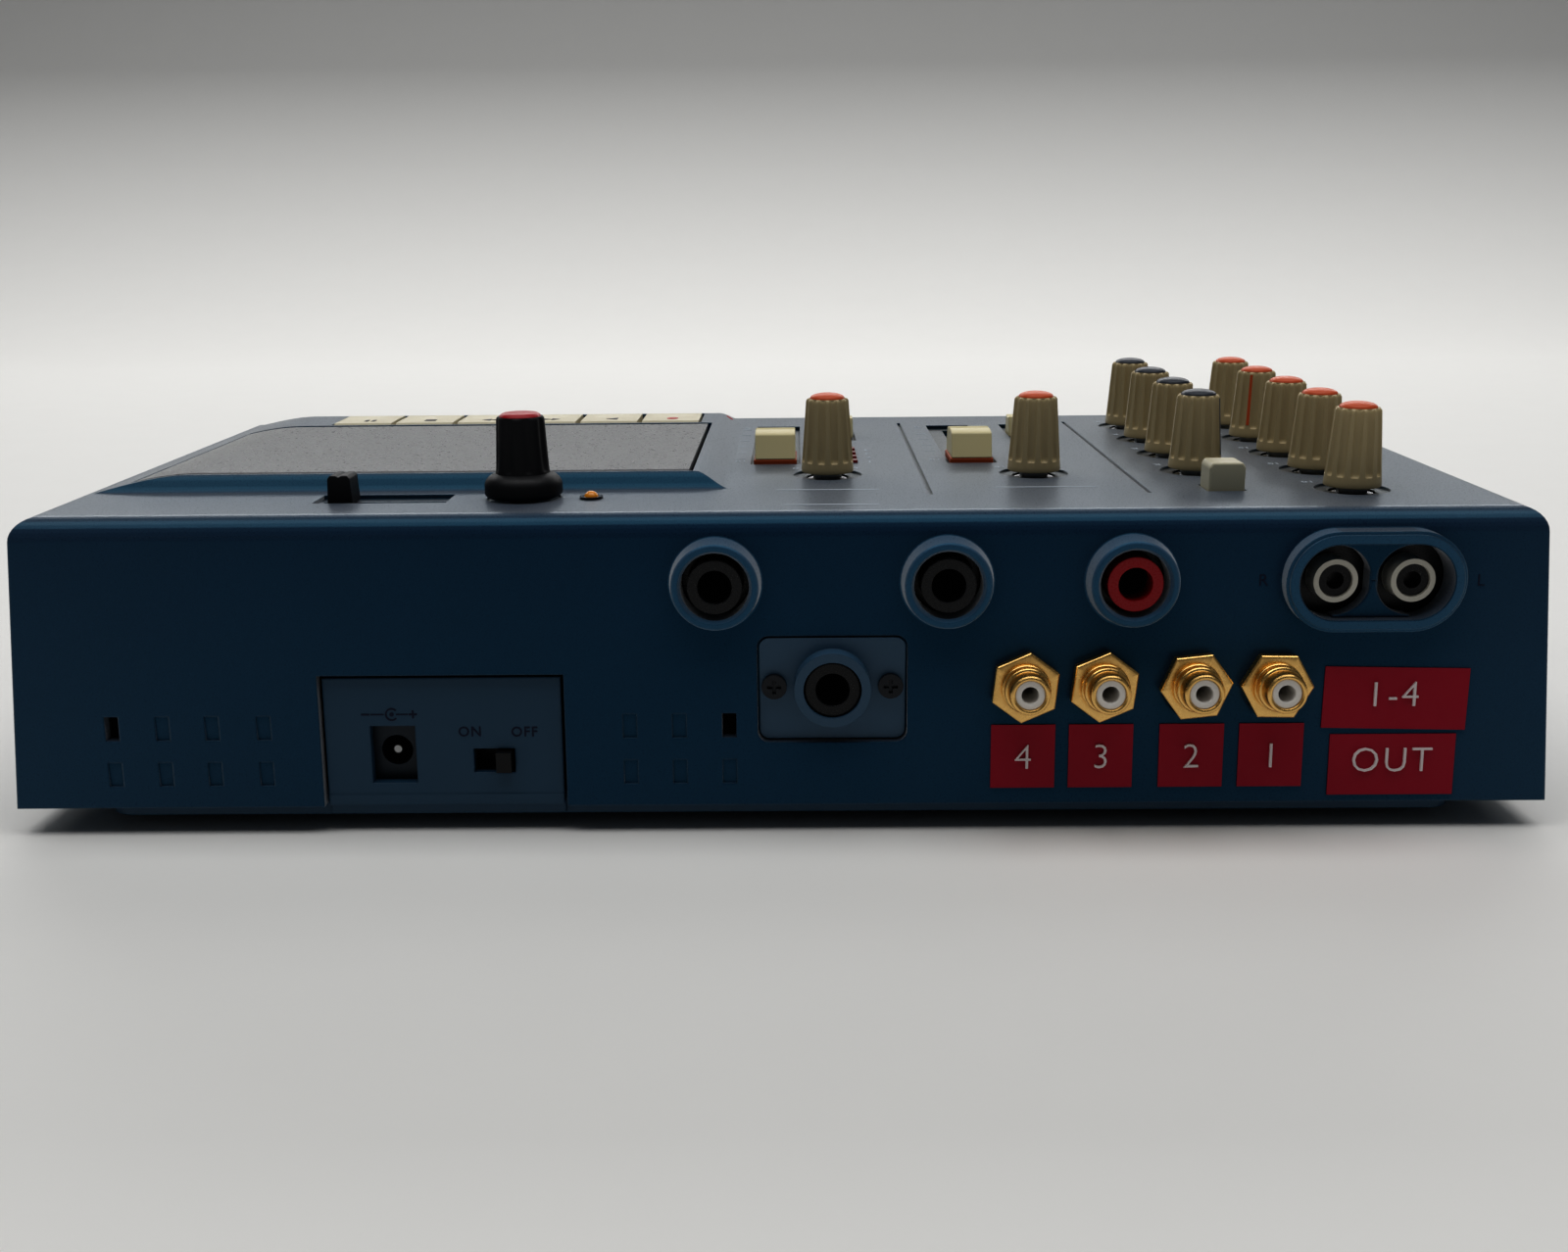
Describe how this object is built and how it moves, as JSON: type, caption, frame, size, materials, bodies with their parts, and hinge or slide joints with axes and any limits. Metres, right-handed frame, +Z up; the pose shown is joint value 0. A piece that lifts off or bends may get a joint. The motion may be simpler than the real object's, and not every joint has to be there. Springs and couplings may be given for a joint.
{
  "type": "cassette recorder",
  "caption": "Portable multitrack cassette recorder with a mixer panel, round fluted knobs, a raised cassette deck with piano keys, and sockets along its back.",
  "frame": {"origin": "on the desk, under the middle of the whole recorder", "axes": "+X from the user's left to right, +Y from the front to the back with the sockets, +Z up"},
  "size_m": [0.296, 0.2198, 0.0795],
  "materials": {
    "case_blue": "satin",
    "tray_blue": "satin",
    "foot_rubber": "matt",
    "screw_black": "black",
    "well_black": "matt",
    "plated_steel": "zinc plated",
    "motor_can": "plated",
    "belt_rubber": "matt",
    "board_green": "lacquered",
    "socket_black": "moulded",
    "plate_blue": "satin",
    "gold_plating": "gold plated",
    "insulator_white": "satin",
    "label_red": "embossed tape",
    "lamp_amber": "clear",
    "meter_dark": "gloss",
    "frame_black": "matt",
    "knob_tan": "satin",
    "knob_cream": "satin",
    "knob_black": "matt",
    "button_cream": "gloss",
    "key_cream": "satin",
    "lid_frame_black": "matt",
    "lid_smoke": "smoked",
    "pulley_brass": "turned",
    "flywheel_steel": "turned",
    "spindle_white": "satin",
    "arm_steel": "plated",
    "roller_rubber": "ground",
    "head_steel": "polished",
    "wheel_black": "matt"
  },
  "bodies": {
    "recorder_case": {"top_case": "case_blue", "bottom_case": "tray_blue", "rubber_feet": "foot_rubber", "case_screws": "screw_black", "cassette_well": "well_black", "deck_chassis": "plated_steel", "deck_motor": "motor_can", "drive_belt": "belt_rubber", "circuit_boards": "board_green", "knob_potentiometers": "plated_steel", "fader_tracks": "plated_steel", "switch_bodies": "plated_steel", "quarter_inch_sockets": "socket_black", "socket_plate": "plate_blue", "line_out_sockets": "socket_black", "gold_sockets": "gold_plating", "socket_insulators": "insulator_white", "stuck_labels": "label_red", "power_socket": "socket_black", "indicator_lamps": "lamp_amber", "level_meter": "meter_dark", "counter_frame": "frame_black"},
    "phones_level_knob": {"phones_level_knob": "knob_tan"},
    "cue_level_knob_1": {"cue_level_knob_1": "knob_tan"},
    "cue_pan_knob_1": {"cue_pan_knob_1": "knob_cream"},
    "cue_level_knob_2": {"cue_level_knob_2": "knob_tan"},
    "cue_pan_knob_2": {"cue_pan_knob_2": "knob_cream"},
    "cue_level_knob_3": {"cue_level_knob_3": "knob_tan"},
    "cue_pan_knob_3": {"cue_pan_knob_3": "knob_cream"},
    "cue_level_knob_4": {"cue_level_knob_4": "knob_tan"},
    "cue_pan_knob_4": {"cue_pan_knob_4": "knob_cream"},
    "trim_knob_1": {"trim_knob_1": "knob_tan"},
    "trim_knob_2": {"trim_knob_2": "knob_tan"},
    "line_level_knob": {"line_level_knob": "knob_black"},
    "pitch_slider": {"pitch_slider": "frame_black"},
    "mono_button": {"mono_button": "button_cream"},
    "input_fader_1": {"input_fader_1": "key_cream"},
    "input_fader_2": {"input_fader_2": "key_cream"},
    "track_switch_1": {"track_switch_1": "key_cream"},
    "track_switch_2": {"track_switch_2": "key_cream"},
    "power_switch": {"power_switch": "frame_black"},
    "record_key": {"record_key": "key_cream"},
    "play_key": {"play_key": "key_cream"},
    "rewind_key": {"rewind_key": "key_cream"},
    "forward_key": {"forward_key": "key_cream"},
    "stop_key": {"stop_key": "key_cream"},
    "pause_key": {"pause_key": "key_cream"},
    "cassette_lid": {"cassette_lid": "lid_frame_black", "lid_window": "lid_smoke"},
    "capstan_flywheel": {"capstan_flywheel": "flywheel_steel"},
    "motor_pulley": {"motor_pulley": "pulley_brass"},
    "supply_spindle": {"supply_spindle": "spindle_white"},
    "takeup_spindle": {"takeup_spindle": "spindle_white"},
    "head_carriage": {"head_carriage": "head_steel"},
    "pinch_arm": {"pinch_arm": "arm_steel"},
    "pinch_roller": {"pinch_roller": "roller_rubber"},
    "counter_wheel_1": {"counter_wheel_1": "wheel_black"},
    "counter_wheel_10": {"counter_wheel_10": "wheel_black"},
    "counter_wheel_100": {"counter_wheel_100": "wheel_black"},
    "counter_reset": {"counter_reset": "frame_black"}
  },
  "joints": [
    {"name": "phones_level_turn", "type": "hinge", "parent": "recorder_case", "child": "phones_level_knob", "pos_m": [-0.1151, 0.07592, 0.062], "axis": [0, 0, 1], "range_deg": [-300, 0]},
    {"name": "cue_level_1_turn", "type": "hinge", "parent": "recorder_case", "child": "cue_level_knob_1", "pos_m": [-0.1151, 0.05222, 0.062], "axis": [0, 0, 1], "range_deg": [-300, 0]},
    {"name": "cue_pan_1_turn", "type": "hinge", "parent": "recorder_case", "child": "cue_pan_knob_1", "pos_m": [-0.0895, 0.05222, 0.062], "axis": [0, 0, 1], "range_deg": [-210, 90]},
    {"name": "cue_level_2_turn", "type": "hinge", "parent": "recorder_case", "child": "cue_level_knob_2", "pos_m": [-0.1151, 0.02852, 0.062], "axis": [0, 0, 1], "range_deg": [-300, 0]},
    {"name": "cue_pan_2_turn", "type": "hinge", "parent": "recorder_case", "child": "cue_pan_knob_2", "pos_m": [-0.0895, 0.02852, 0.062], "axis": [0, 0, 1], "range_deg": [-300, 0]},
    {"name": "cue_level_3_turn", "type": "hinge", "parent": "recorder_case", "child": "cue_level_knob_3", "pos_m": [-0.1151, 0.00482, 0.062], "axis": [0, 0, 1], "range_deg": [-120, 180]},
    {"name": "cue_pan_3_turn", "type": "hinge", "parent": "recorder_case", "child": "cue_pan_knob_3", "pos_m": [-0.0895, 0.00482, 0.062], "axis": [0, 0, 1], "range_deg": [-300, 0]},
    {"name": "cue_level_4_turn", "type": "hinge", "parent": "recorder_case", "child": "cue_level_knob_4", "pos_m": [-0.1151, -0.01888, 0.062], "axis": [0, 0, 1], "range_deg": [-300, 0]},
    {"name": "cue_pan_4_turn", "type": "hinge", "parent": "recorder_case", "child": "cue_pan_knob_4", "pos_m": [-0.0895, -0.01888, 0.062], "axis": [0, 0, 1], "range_deg": [-300, 0]},
    {"name": "trim_1_turn", "type": "hinge", "parent": "recorder_case", "child": "trim_knob_1", "pos_m": [-0.0549, 0.05352, 0.062], "axis": [0, 0, 1], "range_deg": [-300, 0]},
    {"name": "trim_2_turn", "type": "hinge", "parent": "recorder_case", "child": "trim_knob_2", "pos_m": [-0.0108, 0.05352, 0.062], "axis": [0, 0, 1], "range_deg": [-300, 0]},
    {"name": "line_level_turn", "type": "hinge", "parent": "recorder_case", "child": "line_level_knob", "pos_m": [0.0501, 0.07832, 0.062], "axis": [0, 0, 1], "range_deg": [-300, 0]},
    {"name": "pitch_slide", "type": "slide", "parent": "recorder_case", "child": "pitch_slider", "axis": [1, 0, 0], "range_m": [-0.017, 0.001]},
    {"name": "mono_press", "type": "slide", "parent": "recorder_case", "child": "mono_button", "axis": [0, 0, -1], "range_m": [0, 0.0025], "stiffness_N_per_m": 150, "springref_m": -0.003},
    {"name": "input_fader_1_slide", "type": "slide", "parent": "recorder_case", "child": "input_fader_1", "axis": [0, -1, 0], "range_m": [0, 0.0473]},
    {"name": "input_fader_2_slide", "type": "slide", "parent": "recorder_case", "child": "input_fader_2", "axis": [0, -1, 0], "range_m": [0, 0.0473]},
    {"name": "track_switch_1_slide", "type": "slide", "parent": "recorder_case", "child": "track_switch_1", "axis": [0, -1, 0], "range_m": [-0.006, 0.0105]},
    {"name": "track_switch_2_slide", "type": "slide", "parent": "recorder_case", "child": "track_switch_2", "axis": [0, -1, 0], "range_m": [-0.006, 0.0105]},
    {"name": "power_switch_slide", "type": "slide", "parent": "recorder_case", "child": "power_switch", "axis": [1, 0, 0], "range_m": [0, 0.004]},
    {"name": "record_press", "type": "slide", "parent": "recorder_case", "child": "record_key", "axis": [0, 0, -1], "range_m": [0, 0.004], "stiffness_N_per_m": 150, "springref_m": -0.003},
    {"name": "play_press", "type": "slide", "parent": "recorder_case", "child": "play_key", "axis": [0, 0, -1], "range_m": [0, 0.004], "stiffness_N_per_m": 300, "springref_m": -0.003},
    {"name": "rewind_press", "type": "slide", "parent": "recorder_case", "child": "rewind_key", "axis": [0, 0, -1], "range_m": [0, 0.004], "stiffness_N_per_m": 150, "springref_m": -0.003},
    {"name": "forward_press", "type": "slide", "parent": "recorder_case", "child": "forward_key", "axis": [0, 0, -1], "range_m": [0, 0.004], "stiffness_N_per_m": 150, "springref_m": -0.003},
    {"name": "stop_press", "type": "slide", "parent": "recorder_case", "child": "stop_key", "axis": [0, 0, -1], "range_m": [0, 0.004], "stiffness_N_per_m": 150, "springref_m": -0.003},
    {"name": "pause_press", "type": "slide", "parent": "recorder_case", "child": "pause_key", "axis": [0, 0, -1], "range_m": [0, 0.004], "stiffness_N_per_m": 150, "springref_m": -0.003},
    {"name": "lid_hinge", "type": "hinge", "parent": "recorder_case", "child": "cassette_lid", "pos_m": [0.0755, 0.06322, 0.0626], "axis": [-1, 0, 0], "range_deg": [0, 50]},
    {"name": "capstan_spin", "type": "hinge", "parent": "recorder_case", "child": "capstan_flywheel", "pos_m": [0.104, 0.00462, 0.026], "axis": [0, 0, 1], "continuous": true},
    {"name": "motor_spin", "type": "hinge", "parent": "recorder_case", "child": "motor_pulley", "pos_m": [0.0465, 0.03412, 0.026], "axis": [0, 0, 1], "continuous": true},
    {"name": "supply_spin", "type": "hinge", "parent": "recorder_case", "child": "supply_spindle", "pos_m": [0.05325, 0.03362, 0.05], "axis": [0, 0, 1], "continuous": true},
    {"name": "takeup_spin", "type": "hinge", "parent": "recorder_case", "child": "takeup_spindle", "pos_m": [0.09575, 0.03362, 0.05], "axis": [0, 0, 1], "continuous": true},
    {"name": "head_slide", "type": "slide", "parent": "recorder_case", "child": "head_carriage", "axis": [0, 1, 0], "range_m": [0, 0.0032]},
    {"name": "pinch_arm_swing", "type": "hinge", "parent": "recorder_case", "child": "pinch_arm", "pos_m": [0.118, -0.00568, 0.046], "axis": [0, 0, -1], "range_deg": [0, 14.5]},
    {"name": "pinch_roller_spin", "type": "hinge", "parent": "pinch_arm", "child": "pinch_roller", "pos_m": [0.104, -0.00568, 0.052], "axis": [0, 0, 1], "continuous": true},
    {"name": "counter_wheel_1_spin", "type": "hinge", "parent": "recorder_case", "child": "counter_wheel_1", "pos_m": [0.105, -0.06388, 0.0447], "axis": [1, 0, 0], "continuous": true},
    {"name": "counter_wheel_10_spin", "type": "hinge", "parent": "recorder_case", "child": "counter_wheel_10", "pos_m": [0.1, -0.06388, 0.0447], "axis": [1, 0, 0], "continuous": true},
    {"name": "counter_wheel_100_spin", "type": "hinge", "parent": "recorder_case", "child": "counter_wheel_100", "pos_m": [0.095, -0.06388, 0.0447], "axis": [1, 0, 0], "continuous": true},
    {"name": "counter_reset_press", "type": "slide", "parent": "recorder_case", "child": "counter_reset", "axis": [0, 0, -1], "range_m": [0, 0.002], "stiffness_N_per_m": 100, "springref_m": -0.002}
  ],
  "couplings": [
    {"joint": "motor_spin", "follows": "capstan_spin", "ratio": 7.2121},
    {"joint": "head_slide", "follows": "play_press", "ratio": 0.8},
    {"joint": "pinch_arm_swing", "follows": "play_press", "rad_per_m": 63.2},
    {"joint": "counter_wheel_1_spin", "follows": "takeup_spin", "ratio": 0.5},
    {"joint": "counter_wheel_10_spin", "follows": "takeup_spin", "ratio": 0.05},
    {"joint": "counter_wheel_100_spin", "follows": "takeup_spin", "ratio": 0.005}
  ]
}
